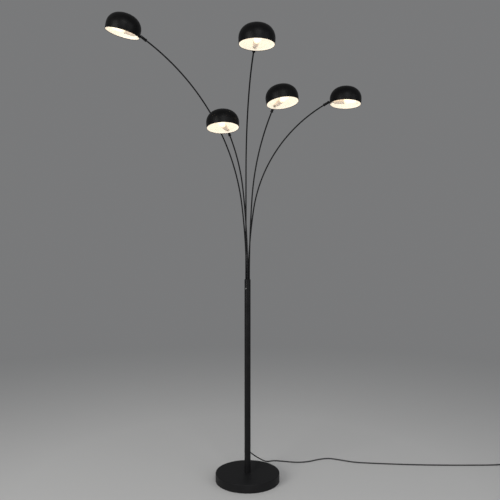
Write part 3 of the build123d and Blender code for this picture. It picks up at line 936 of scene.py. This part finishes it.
@dataclass
class Stand:
    """The base, the pole and the arm holder in their finishes, and the holder's screw."""

    frame: dict
    bench: Bench
    screw_head_radius: float = 0.004
    screw_head_height: float = 0.0025
    screw_shank_radius: float = 0.002
    screw_length: float = 0.005
    pole_radius: float = 0.014

    def holder_screw(self) -> None:
        """Model the screw that holds the arm holder, where the node has it."""
        finish = BareMetal("holder_screw_steel", (0.2, 0.2, 0.2), (0.13, 0.13, 0.13))
        node = self.frame["nodes"]["holder_screw"]
        total = sum((vertex.co for vertex in node.data.vertices), ORIGIN)
        out = Vector((total.x, total.y, 0)).normalized()
        screw = SocketScrew(
            self.bench,
            head_radius=self.screw_head_radius,
            head_height=self.screw_head_height,
            shank_radius=self.screw_shank_radius,
            seat=0.0,
            tip=-self.screw_length,
        ).build("arm_holder_screw")
        seat = out * self.pole_radius + UP * node_height(node)
        self.bench.seated(screw, seat, out, UP)
        self.bench.done(screw, finish.material(), "root", "screw_steel", ("holder_screw",))

    def dress(self) -> None:
        """Give every node of the stand its finish."""
        coat = PowderCoat(
            "base_powder_coat",
            colour=(0.0105, 0.0105, 0.0112),
            patch_colour=(0.0165, 0.0165, 0.0173),
            roughness=0.5,
        ).material()
        tube = PowderCoat(
            "pole_powder_coat",
            colour=(0.009, 0.009, 0.0096),
            patch_colour=(0.0145, 0.0145, 0.0153),
            roughness=0.36,
        ).material()
        steel = BareMetal("zinc_steel", (0.62, 0.62, 0.6), (0.45, 0.45, 0.44)).material()
        cast = BareMetal(
            "cast_plate",
            (0.11, 0.11, 0.115),
            (0.06, 0.06, 0.06),
            roughness=0.75,
            grain=240.0,
            grain_depth=0.0004,
            patches=240.0,
            metallic=0.6,
        )
        pad = Moulded(
            "foam_pad",
            (0.03, 0.03, 0.03),
            (0.045, 0.045, 0.045),
            roughness=0.9,
            grain=900.0,
            grain_depth=0.0003,
        )
        white = Moulded("terminal_plastic", (0.8, 0.8, 0.77), (0.84, 0.83, 0.8), roughness=0.45)
        finishes = {
            "base_cover": coat,
            "base_weight": cast.material(),
            "base_pad": pad.material(),
            "pole_spigot": steel,
            "spigot_nut": steel,
            "pole": tube,
            "arm_holder": tube,
            "terminal_block": white.material(),
        }
        paint(self.frame["nodes"], finishes)
        self.holder_screw()


def node_height(node: Piece) -> float:
    """The height of the middle of a node's box."""
    heights = [vertex.co.z for vertex in node.data.vertices]
    return (min(heights) + max(heights)) / 2


def paint(nodes: dict[str, Piece], finishes: dict[str, Material]) -> None:
    """Give CAD nodes their finishes, in every slot.

    Args:
        nodes: All nodes by name.
        finishes: What each node gets, by its name.
    """
    for name, finish in finishes.items():
        slots = nodes[name].data.materials
        if len(slots) == 0:
            slots.append(finish)
        for index in range(len(slots)):
            slots[index] = finish
        log.info("dressed %s", name)


@dataclass
class HeadPatterns:
    """The small pieces that all five heads have, modelled once about +Z."""

    bench: Bench
    knuckle_flat: float = 0.0046
    screw_head_radius: float = 0.0029
    screw_head_height: float = 0.0017
    screw_shank_radius: float = 0.0015
    screw_tip: float = 0.0070
    nut_flats: float = 0.0055
    nut_height: float = 0.0022
    rim_drop: float = 0.0145
    rim_radius: float = 0.0681
    rim_bead: float = 0.0009
    rim_segments: int = 144
    rim_crisp_degrees: float = 60.0
    holder_back: float = 0.028
    holder_front: float = 0.073
    holder_neck_end: float = 0.039
    holder_neck_radius: float = 0.0095
    holder_radius: float = 0.0109
    holder_thread_start: float = 0.050
    holder_collar_back: float = 0.0666
    holder_collar_radius: float = 0.0125
    holder_shoulder: float = 0.0016
    holder_bevel: float = 0.0006
    collar_back_bevel: float = 0.0004
    thread_turns: int = 5
    thread_rise: float = 0.0004
    thread_depth: float = 0.0006
    socket_radius: float = 0.0082
    socket_floor: float = 0.049
    socket_bevel: float = 0.0008
    holder_segments: int = 64
    holder_crisp_degrees: float = 30.0

    def __post_init__(self) -> None:
        """Model the three patterns."""
        self.screw = self.knuckle_screw()
        self.rim = self.shade_rim()
        self.holder = self.lampholder()

    def knuckle_screw(self) -> Piece:
        """Model the hinge's screw and nut.

        Returns:
            The pattern at the origin.
        """
        return SocketScrew(
            self.bench,
            head_radius=self.screw_head_radius,
            head_height=self.screw_head_height,
            shank_radius=self.screw_shank_radius,
            seat=self.knuckle_flat,
            tip=-self.screw_tip,
            nut_flats=self.nut_flats,
            nut_height=self.nut_height,
        ).build("hinge_screw_pattern")

    def shade_rim(self) -> Piece:
        """Roll the shade's edge over into a thin bead.

        Returns:
            The pattern at the origin.
        """
        section = bead_section(-self.rim_drop, self.rim_radius, self.rim_bead)
        rim = self.bench.turned("shade_rim_pattern", section, self.rim_segments, Side.RING)
        return self.bench.smoothed(rim, self.rim_crisp_degrees)

    def lampholder(self) -> Piece:
        """Turn the lampholder, with the thread and the collar on its skirt.

        Returns:
            The pattern at the origin.
        """
        crest = self.holder_radius + self.thread_rise
        collar, collar_back = self.holder_collar_radius, self.holder_collar_back
        stations = [
            (self.socket_floor, self.socket_radius),
            (self.holder_front - self.socket_bevel, self.socket_radius),
            (self.holder_front, self.socket_radius + self.socket_bevel),
            (self.holder_front, collar - self.holder_bevel),
            (self.holder_front - self.holder_bevel, collar),
            (collar_back + self.collar_back_bevel, collar),
            (collar_back, collar - self.collar_back_bevel),
            *ribbed_section(
                (collar_back, crest),
                (self.holder_thread_start, crest),
                self.thread_turns,
                self.thread_depth,
            ),
            (self.holder_thread_start, self.holder_radius),
            (self.holder_neck_end + self.holder_shoulder, self.holder_radius),
            (self.holder_neck_end, self.holder_neck_radius),
            (self.holder_back + self.holder_bevel, self.holder_neck_radius),
            (self.holder_back, self.holder_neck_radius - self.holder_bevel),
        ]
        segments = self.holder_segments
        holder = self.bench.turned("bulb_holder_pattern", stations, segments, Side.BOTH)
        return self.bench.smoothed(holder, self.holder_crisp_degrees)

    def discard(self) -> None:
        """Throw the patterns away once every head has its copies."""
        for pattern in (self.screw, self.rim, self.holder):
            bpy.data.objects.remove(pattern)


@dataclass
class HeadFinishes:
    """The finishes that all five heads share."""

    tube: Material
    screw: Material
    nut: Material
    holder: Material

    @classmethod
    def mixed(cls) -> HeadFinishes:
        """Mix the four finishes.

        Returns:
            The finishes.
        """
        tube = PowderCoat("arm_powder_coat", colour=(0.008, 0.008, 0.009), roughness=0.38)
        screw = BareMetal("head_screw", (0.04, 0.04, 0.042), (0.08, 0.08, 0.08), roughness=0.4)
        nut = BareMetal("shade_nut_zinc", (0.74, 0.72, 0.68), (0.6, 0.58, 0.54), roughness=0.38)
        # The lampholder gets a painted glow: warm light painted into its colour in place of the
        # bulb's light on it.
        holder = Moulded(
            "lampholder_plastic",
            (0.80, 0.70, 0.58),
            (0.84, 0.75, 0.64),
            glow=(1.0, 0.78, 0.62),
            painted_glow_strength=0.2,
        )
        return cls(tube.material(), screw.material(), nut.material(), holder.material())


@dataclass
class LampHead:
    """One arm with its knuckle, shade, lampholder and bulb."""

    frame: dict
    bench: Bench
    place: HeadPlace
    patterns: HeadPatterns
    bulb_glass_start: float = -0.005
    bulb_glass_length: float = 0.052
    plated_from: float = 0.0101

    def small_pieces(self, finishes: HeadFinishes) -> None:
        """Put in the hinge's screw and nut, the bead on the shade's edge and the lampholder.

        Args:
            finishes: Those that all heads share.
        """
        number, at, patterns = self.place.number, self.place, self.patterns
        seats = {
            "hinge_screw": (patterns.screw, at.pivot, at.hinge, UP),
            "shade_rim": (patterns.rim, at.centre, at.apex, at.nipple),
            "bulb_holder": (patterns.holder, at.pivot, at.nipple, at.apex),
        }
        screw_nodes, holder_nodes = (f"knuckle_screw_{number}",), (f"lampholder_{number}",)
        dressing = {
            "hinge_screw": (finishes.screw, f"arm_{number}", "screw_steel", screw_nodes),
            "shade_rim": (finishes.tube, f"head_{number}", "shade_coat"),
            "bulb_holder": (finishes.holder, f"knuckle_{number}", "holder_plastic", holder_nodes),
        }
        for name, (pattern, *seat) in seats.items():
            piece = self.bench.copied(pattern, f"{name}_{number}")
            self.bench.seated(piece, *seat)
            self.bench.done(piece, *dressing[name])

    def mark_inside(self) -> None:
        """Mark the shade's faces that look towards its middle."""
        mesh = self.frame["nodes"][f"shade_{self.place.number}"].data
        mark = mesh.attributes.new(INNER_MARK, "FLOAT", "FACE")
        for face in mesh.polygons:
            outward = (face.center - self.place.centre).dot(face.normal)
            mark.data[face.index].value = 1.0 if outward < 0 else 0.0

    def dress(self, finishes: HeadFinishes) -> None:
        """Give the lamp's nodes their finishes.

        Args:
            finishes: Those that all heads share.
        """
        number, nipple, centre = self.place.number, self.place.nipple, self.place.centre
        knuckle = KnuckleCoat(
            f"knuckle_{number}_coat",
            pivot=self.place.pivot,
            nipple=nipple,
            plated_from=self.plated_from,
        )
        coat = ShadeCoat(f"shade_{number}_coat", centre=centre, nipple=nipple)
        start = centre + nipple * self.bulb_glass_start
        glass = FrostedGlass(f"bulb_{number}_glass", start, nipple, self.bulb_glass_length)
        dressing = {
            f"arm_tube_{number}": finishes.tube,
            f"knuckle_lower_{number}": finishes.tube,
            f"knuckle_upper_{number}": knuckle.material(),
            f"shade_nut_{number}": finishes.nut,
            f"shade_{number}": coat.material(),
            f"bulb_{number}": glass.material(),
        }
        paint(self.frame["nodes"], dressing)
        self.mark_inside()
        self.small_pieces(finishes)


@dataclass
class CordSet:
    """The mains cord, the foot switch, the coil of spare cord and the plug."""

    frame: dict
    bench: Bench
    radius: float = 0.003
    switch_start: float = 1.300
    switch_end: float = 1.370
    line_y: float = 0.1723
    rise: float = 0.0065
    straight_out: float = 0.010
    dip_out: float = 0.024
    dip_height: float = 0.0042
    coil_offset: float = 0.045
    coil_radius: float = 0.036
    coil_pitch: float = 0.0066
    coil_turns: float = 3.5
    climb_turns: float = 0.5
    points_per_turn: int = 16
    plug_x: float = 1.391
    plug_z: float = 0.007
    plug_straight: float = 0.006
    plug_lead: float = 0.013
    plug_lead_height: float = 0.0078
    run_length: float = 1.496
    coil_length: float = 0.735
    pole_radius: float = 0.014
    bushing_inside: float = 0.0035
    bushing_neck_radius: float = 0.0044
    bushing_flange_radius: float = 0.0066
    bushing_flange: float = 0.0016
    bushing_bevel: float = 0.0005
    bushing_step: float = 0.0008
    guard_length: float = 0.022
    guard_root: float = 0.0052
    guard_tip: float = 0.0039
    guard_ribs: int = 8
    guard_groove: float = 0.0007
    guard_sunk: float = 0.001
    plug_sleeve: float = 0.012
    plug_length: float = 0.036
    pin_spacing: float = 0.019
    pin_cover: float = 0.010
    pin_cover_wall: float = 0.0002
    pin_cover_bevel: float = 0.0003
    pin_cover_sunk: float = 0.0005
    pin_radius: float = 0.002
    switch_seam: float = 0.0085
    seam_width: float = 0.0008
    seam_proud: float = 0.0003
    tie_width: float = 0.007
    tie_thickness: float = 0.0009
    tie_clearance: float = 0.0001
    round_segments: int = 48
    small_segments: int = 32
    tie_segments: int = 64
    spline_order: int = 3
    spline_steps: int = 8
    section_steps: int = 5

    def route(self) -> list[Point]:
        """Lay the cord from the pole to the foot switch.

        Returns:
            Its spline's points.
        """
        floor = self.radius
        return [
            (0, 0.006, 0.118),
            (0, 0.050, 0.118),
            (0.034, 0.116, 0.068),
            (0.071, 0.184, 0.022),
            (0.095, 0.214, floor),
            (0.127, 0.230, floor),
            (0.172, 0.221, floor),
            (0.235, 0.204, floor),
            (0.297, 0.212, floor),
            (0.348, 0.243, floor),
            (0.405, 0.262, floor),
            (0.462, 0.236, floor),
            (0.522, 0.206, floor),
            (0.600, 0.195, floor),
            (0.765, 0.177, floor),
            (0.935, 0.169, floor),
            (1.105, 0.169, floor),
            (1.190, 0.171, floor),
            (1.245, self.line_y, self.rise),
            (self.switch_start, self.line_y, self.rise),
        ]

    def coil_centre(self) -> tuple[float, float]:
        """The place on the floor that the coil winds round."""
        return self.switch_end + self.coil_offset, self.line_y + self.coil_radius

    def coil_point(self, turns: float) -> Point:
        """Find a point of the coil: in along the floor, up, and out again above.

        Args:
            turns: How many turns from the coil's start.

        Returns:
            The point in metres.
        """
        inward = min(turns, self.coil_turns - turns)
        radius = self.coil_radius - self.coil_pitch * inward
        climb_start = (self.coil_turns - self.climb_turns) / 2
        share = min(max((turns - climb_start) / self.climb_turns, 0.0), 1.0)
        height = self.radius + self.coil_pitch * share * share * (3 - 2 * share)
        angle = 2 * math.pi * turns - math.pi / 2
        x, y = self.coil_centre()
        return (x + radius * math.cos(angle), y + radius * math.sin(angle), height)

    def coil_route(self) -> list[Point]:
        """Lay the cord from the foot switch through the coil to the plug.

        Returns:
            Its spline's points.
        """
        start = [
            (self.switch_end, self.line_y, self.rise),
            (self.switch_end + self.straight_out, self.line_y, self.rise),
            (self.switch_end + self.dip_out, self.line_y, self.dip_height),
        ]
        count = round(self.coil_turns * self.points_per_turn)
        turns = [self.coil_point(self.coil_turns * index / count) for index in range(count + 1)]
        end = [
            (self.plug_x + self.plug_lead, self.last_y(), self.plug_lead_height),
            (self.plug_x + self.plug_straight, self.last_y(), self.plug_z),
            (self.plug_x, self.last_y(), self.plug_z),
        ]
        return start + turns + end

    def cord_curve(self, name: str, points: list[Point]) -> Piece:
        """Make a round cord along a smooth spline.

        Args:
            name: The piece's name.
            points: The spline's control points.

        Returns:
            The curve object.
        """
        curve = bpy.data.curves.new(name, "CURVE")
        curve.dimensions = "3D"
        curve.bevel_depth = self.radius
        curve.bevel_resolution = self.section_steps
        curve.resolution_u = self.spline_steps
        curve.use_fill_caps = True
        spline = curve.splines.new("NURBS")
        spline.points.add(len(points) - 1)
        for target, point in zip(spline.points, points):
            target.co = (*point, 1.0)
        spline.order_u = self.spline_order
        spline.use_endpoint_u = True
        spline.use_smooth = True
        piece = bpy.data.objects.new(name, curve)
        bpy.context.scene.collection.objects.link(piece)
        return piece

    def bushing(self, path: CordPath, plastic: Material) -> None:
        """Turn the ribbed bushing that guards the cord where it leaves the pole.

        Args:
            path: The cord's middle line.
            plastic: Its finish.
        """
        flange_end = self.pole_radius + self.bushing_flange
        tail_root = self.bushing_flange_radius - self.bushing_step
        stations = [
            (self.pole_radius - self.bushing_inside, self.bushing_neck_radius),
            (self.pole_radius, self.bushing_neck_radius),
            (self.pole_radius, self.bushing_flange_radius),
            (flange_end - self.bushing_bevel, self.bushing_flange_radius),
            (flange_end, self.bushing_flange_radius - self.bushing_bevel),
            *ribbed_section(
                (flange_end, tail_root),
                (flange_end + self.guard_length, self.guard_tip),
                self.guard_ribs,
                self.guard_groove,
            ),
        ]
        piece = self.bench.turned("ribbed_bushing", stations, self.round_segments, Side.BOTH)
        back = [
            vertex
            for vertex in piece.data.vertices
            if abs(vertex.co.z - self.pole_radius) < MERGE_DISTANCE
            and vertex.co.xy.length > self.bushing_flange_radius - MERGE_DISTANCE
        ]
        for vertex in back:
            vertex.co.z = math.sqrt(self.pole_radius**2 - vertex.co.x**2)
        self.bench.smoothed(piece)
        self.bench.threaded(piece, path, -self.route()[0][1], 1)
        self.bench.done(piece, plastic, "root", "black_plastic", ("cable_bushing",))

    def guards(self, run: CordPath, spare: CordPath, plastic: Material) -> None:
        """Thread a tapered, ribbed sleeve onto the cord where it enters the switch and the plug.

        Args:
            run: The middle line from the pole to the switch.
            spare: The middle line from the switch to the plug.
            plastic: Their finish.
        """
        ribs = ribbed_section(
            (0.0, self.guard_root),
            (self.guard_length, self.guard_tip),
            self.guard_ribs,
            self.guard_groove,
        )
        stations = [(-self.guard_sunk, self.guard_root), *ribs]
        pattern = self.bench.turned("guard_pattern", stations, self.round_segments, Side.BOTH)
        self.bench.smoothed(pattern)
        places = {
            "switch_inlet_guard": (run, run.length, -1),
            "switch_outlet_guard": (spare, 0.0, 1),
            "plug_guard": (spare, spare.length + self.plug_sleeve, -1),
        }
        for name, (path, start, way) in places.items():
            piece = self.bench.copied(pattern, name)
            self.bench.threaded(piece, path, start, way)
            self.bench.done(piece, plastic, "root", "plug_plastic")
        bpy.data.objects.remove(pattern)

    def pin_covers(self, plastic: Material) -> None:
        """Sleeve the roots of the two pins.

        Args:
            plastic: Their finish.
        """
        far = self.plug_x - self.plug_sleeve - self.plug_length
        wide = self.pin_radius + self.pin_cover_wall
        stations = [
            (-self.pin_cover_sunk, wide),
            (self.pin_cover - self.pin_cover_bevel, wide),
            (self.pin_cover, self.pin_radius),
        ]
        segments = self.small_segments
        pattern = self.bench.turned("pin_cover_pattern", stations, segments, Side.BOTH)
        self.bench.smoothed(pattern)
        for index, side in enumerate((-1, 1), start=1):
            piece = self.bench.copied(pattern, f"pin_cover_{index}")
            place = Vector((far, self.last_y() + side * self.pin_spacing / 2, self.plug_z))
            self.bench.seated(piece, place, LEFT, UP)
            self.bench.done(piece, plastic, "root", "plug_plastic")
        bpy.data.objects.remove(pattern)

    def tie(self, rubber: Material) -> None:
        """Wrap the coil's turns in a flat tie, on the side away from the switch.

        Args:
            rubber: Its finish.
        """
        half, snug = self.coil_pitch / 2, self.radius + self.tie_clearance
        inner = half + snug
        outer = inner + self.tie_thickness
        end = self.tie_width / 2
        section = [(-end, inner), (-end, outer), (end, outer), (end, inner), (-end, inner)]
        piece = self.bench.turned("coil_tie", section, self.tie_segments, Side.RING)
        for vertex in piece.data.vertices:
            towards = vertex.co.xy.normalized()
            vertex.co.xy *= self.tie_reach(towards, half, snug) / inner
        self.bench.smoothed(piece)
        x, y = self.coil_centre()
        self.bench.seated(piece, Vector((x + self.tie_distance(), y, inner)), BACK, UP)
        for vertex in piece.data.vertices:
            vertex.co.z = max(vertex.co.z, 0.0)
        self.bench.done(piece, rubber, "root", "cord_jacket")

    def tie_distance(self) -> float:
        """How far from the coil's centre the middle of its turns runs, where the tie is."""
        outer_turn, inner_turn = 0.25, 1.25
        return self.coil_radius - self.coil_pitch * (outer_turn + inner_turn) / 2

    def tie_reach(self, towards: Vector, half: float, snug: float) -> float:
        """Find how far a rounded square reaches in one direction.

        Args:
            towards: The direction, as a unit vector in the square's plane.
            half: Half the side of the square through the corners' centres.
            snug: The corners' radius.

        Returns:
            The distance from the middle to its edge.
        """
        short, long = sorted((abs(towards.x), abs(towards.y)))
        flat = (half + snug) / long
        if flat * short <= half:
            return flat
        along = half * (long + short)
        return along + math.sqrt(along * along - 2 * half * half + snug * snug)

    def seams(self, plastic: Material) -> None:
        """Run a fine bead round the switch and the plug, where their halves meet.

        Args:
            plastic: Its finish.
        """
        for name, height in (("switch", self.switch_seam), ("plug", self.plug_z)):
            node = self.frame["nodes"][f"{name}_body"]
            low, high = height - self.seam_width / 2, height + self.seam_width / 2
            band = self.bench.banded(node, f"{name}_seam", low, high, self.seam_proud)
            self.bench.done(band, plastic, "root", "plug_plastic")

    def last_y(self) -> float:
        """How far back the coil's last point lies, and the plug with it."""
        return self.coil_point(self.coil_turns)[1]

    def fittings(self, run: CordPath, spare: CordPath) -> None:
        """Dress the switch and the plug and add their small pieces.

        Args:
            run: The middle line from the pole to the switch.
            spare: The middle line from the switch to the plug.
        """
        dark, light = (0.012, 0.012, 0.0125), (0.02, 0.02, 0.021)
        plain = Moulded("moulded_plastic", dark, light).material()
        button = Moulded(
            "button_plastic", (0.045, 0.045, 0.047), (0.06, 0.06, 0.062), roughness=0.4
        )
        pins = BareMetal("nickel_pins", (0.72, 0.7, 0.64), (0.6, 0.58, 0.53), roughness=0.25)
        finishes = {
            "switch_body": plain,
            "plug_body": plain,
            "switch_button": button.material(),
            "plug_pins": pins.material(),
        }
        paint(self.frame["nodes"], finishes)
        self.bushing(run, plain)
        self.guards(run, spare, plain)
        self.pin_covers(plain)
        self.tie(plain)
        self.seams(plain)

    def build(self) -> None:
        jacket = CordJacket("cord_jacket").material()
        run = self.cord_curve("cord_run", self.route())
        spare = self.cord_curve("cord_spare_coil", self.coil_route())
        self.fittings(CordPath(run), CordPath(spare))
        self.bench.done(run, jacket, "root", "cord_jacket", ("mains_cord",))
        self.bench.done(spare, jacket, "root", "cord_jacket", ("cord_coil",))
        self.coil_route()[0]


# ---------------------------------------------------------------- studio


@dataclass(frozen=True)
class SoftLight:
    """A square soft light."""

    name: str
    place: Point
    size: float
    power: float
    tint: Colour

    def add(self, target: Vector) -> None:
        """Put the light in the scene.

        Args:
            target: What it looks at.
        """
        data = bpy.data.lights.new(self.name, "AREA")
        data.shape = "SQUARE"
        data.size = self.size
        data.energy = self.power
        data.color = self.tint
        made = bpy.data.objects.new(self.name, data)
        made.location = self.place
        made.rotation_euler = (target - made.location).to_track_quat("-Z", "Y").to_euler()
        bpy.context.scene.collection.objects.link(made)


@dataclass
class Studio:
    """A grey floor that fades into a darker background, soft lights and the camera."""

    camera_place: Point = (0.0112, -2.558, 1.047)
    focal_pixels: float = 562.0
    frame_pixels: float = 500.0
    sensor: float = 36.0
    farthest: float = 100.0
    paper: Colour = (0.64, 0.64, 0.633)
    background: Colour = (0.19, 0.192, 0.195)
    ambient: Colour = (0.27, 0.272, 0.278)
    paper_roughness: float = 0.85
    floor_size: float = 40.0
    fade_start: float = 1.0
    fade_end: float = 3.6
    lit_height: float = 1.1
    lights: tuple[SoftLight, ...] = (
        SoftLight("key", (-3.0, -3.4, 1.9), 2.2, 95.0, (1.0, 0.99, 0.97)),
        SoftLight("fill", (3.4, -2.8, 1.8), 2.4, 32.0, (0.97, 0.98, 1.0)),
        SoftLight("front", (0.6, -3.8, 3.0), 2.0, 45.0, (1.0, 1.0, 1.0)),
    )

    def camera(self) -> None:
        """Place the camera level, at the photograph's height and distance."""
        data = bpy.data.cameras.new("camera")
        data.sensor_width = self.sensor
        data.lens = self.sensor * self.focal_pixels / self.frame_pixels
        data.clip_end = self.farthest
        made = bpy.data.objects.new("camera", data)
        made.location = self.camera_place
        made.rotation_euler = (math.radians(90), 0, 0)
        bpy.context.scene.collection.objects.link(made)
        bpy.context.scene.camera = made

    def floor(self) -> None:
        """Lay a wide plain floor whose distance shows the background's colour."""
        recipe = Recipe("studio_floor")
        away = recipe.distance(ORIGIN).ramped(self.fade_start, self.fade_end)
        far = recipe.background_rays() * away
        recipe.feed(
            Base_Color=recipe.mix(far, self.paper, DARK),
            Roughness=self.paper_roughness,
            Specular_IOR_Level=0.0,
            Emission_Color=recipe.mix(far, DARK, self.background),
            Emission_Strength=1.0,
        )
        bpy.ops.object.select_all(action="DESELECT")
        bpy.ops.mesh.primitive_plane_add(size=self.floor_size, location=ORIGIN)
        floor = bpy.context.object
        floor.name = "floor"
        floor.data.materials.append(recipe.material)

    def world(self) -> None:
        """Give even light all round, with the background behind the lamp."""
        recipe = WorldRecipe("studio")
        colour = recipe.mix(recipe.background_rays(), self.ambient, self.background)
        recipe.feed(Color=colour, Strength=1.0)
        bpy.context.scene.world = recipe.world

    def build(self) -> None:
        """Set up the whole studio."""
        self.camera()
        self.floor()
        self.world()
        for light in self.lights:
            light.add(UP * self.lit_height)
        bpy.context.scene.view_settings.view_transform = "Standard"


def main() -> None:
    """Load the frame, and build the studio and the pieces."""
    logging.basicConfig(level=logging.INFO, format="%(name)s: %(message)s")
    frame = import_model()
    Studio().build()
    bench = Bench()
    CordSet(frame, bench).build()
    Stand(frame, bench).dress()
    finishes = HeadFinishes.mixed()
    patterns = HeadPatterns(bench)
    for number in LAMP_NUMBERS:
        LampHead(frame, bench, HeadPlace.read(frame, number), patterns).dress(finishes)
    patterns.discard()
    log.info("new pieces: %d", len(bench.made))


if __name__ == "__main__":
    main()
